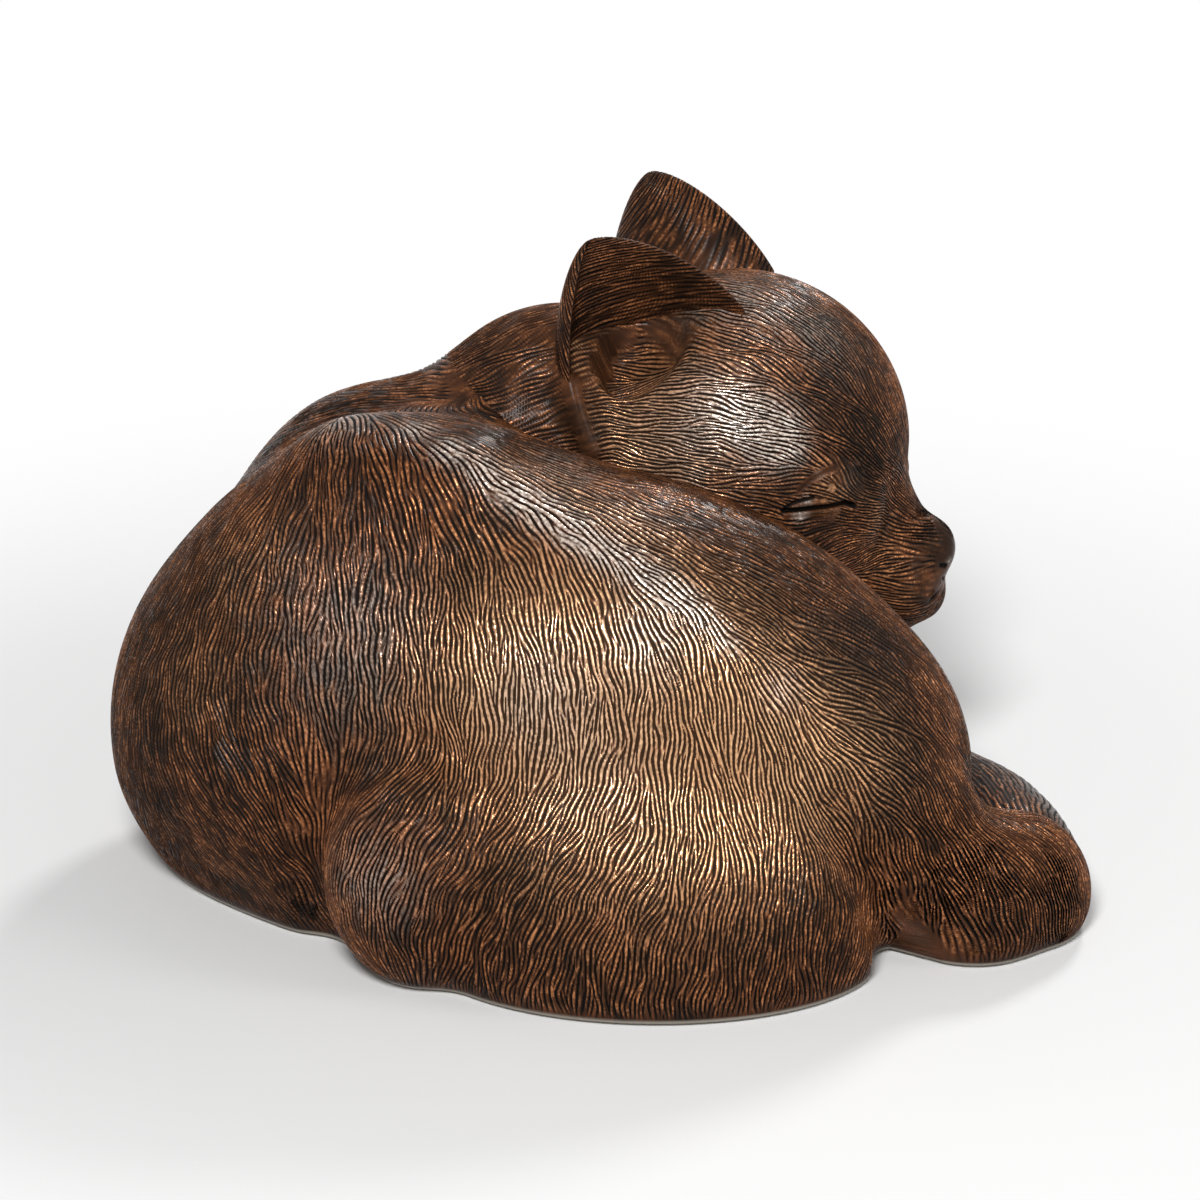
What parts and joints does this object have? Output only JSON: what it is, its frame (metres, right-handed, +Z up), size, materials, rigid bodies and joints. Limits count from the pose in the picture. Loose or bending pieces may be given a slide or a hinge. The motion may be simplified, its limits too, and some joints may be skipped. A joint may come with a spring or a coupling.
{
  "type": "sleeping cat statue",
  "caption": "Curled-up sleeping cat figurine with engraved hair, hollow cast body, bonded head, tail and forelegs, closed underside on felt pads.",
  "frame": {"origin": "centre of the bounding box on the surface that the statue rests on, at the underside of the felt pads", "axes": "+Z up; +X towards the rump and tail root, the way the nose points; +Y towards the side that the cat is curled round, so the flank faces -Y"},
  "size_m": [0.2599, 0.2055, 0.1712],
  "materials": {
    "bronze_body": "antique bronze wash over cast resin, satin to semi-gloss, darker in the hair grooves",
    "bronze_head": "antique bronze wash, semi-gloss on the crown and cheeks",
    "bronze_tail": "antique bronze wash, semi-gloss",
    "bronze_legs": "antique bronze wash, semi-gloss",
    "plate_board": "dark hardboard, matt",
    "plug_rubber": "matt black",
    "felt": "dense black felt",
    "dowel_steel": "drawn steel rod"
  },
  "bodies": {
    "root": {"body_shell": "bronze_body", "head_casting": "bronze_head", "tail_casting": "bronze_tail", "right_foreleg": "bronze_legs", "left_foreleg": "bronze_legs", "base_plate": "plate_board", "pour_plug": "plug_rubber", "felt_pad_1": "felt", "felt_pad_2": "felt", "felt_pad_3": "felt", "felt_pad_4": "felt", "neck_dowel": "dowel_steel", "tail_dowel": "dowel_steel"}
  },
  "joints": []
}
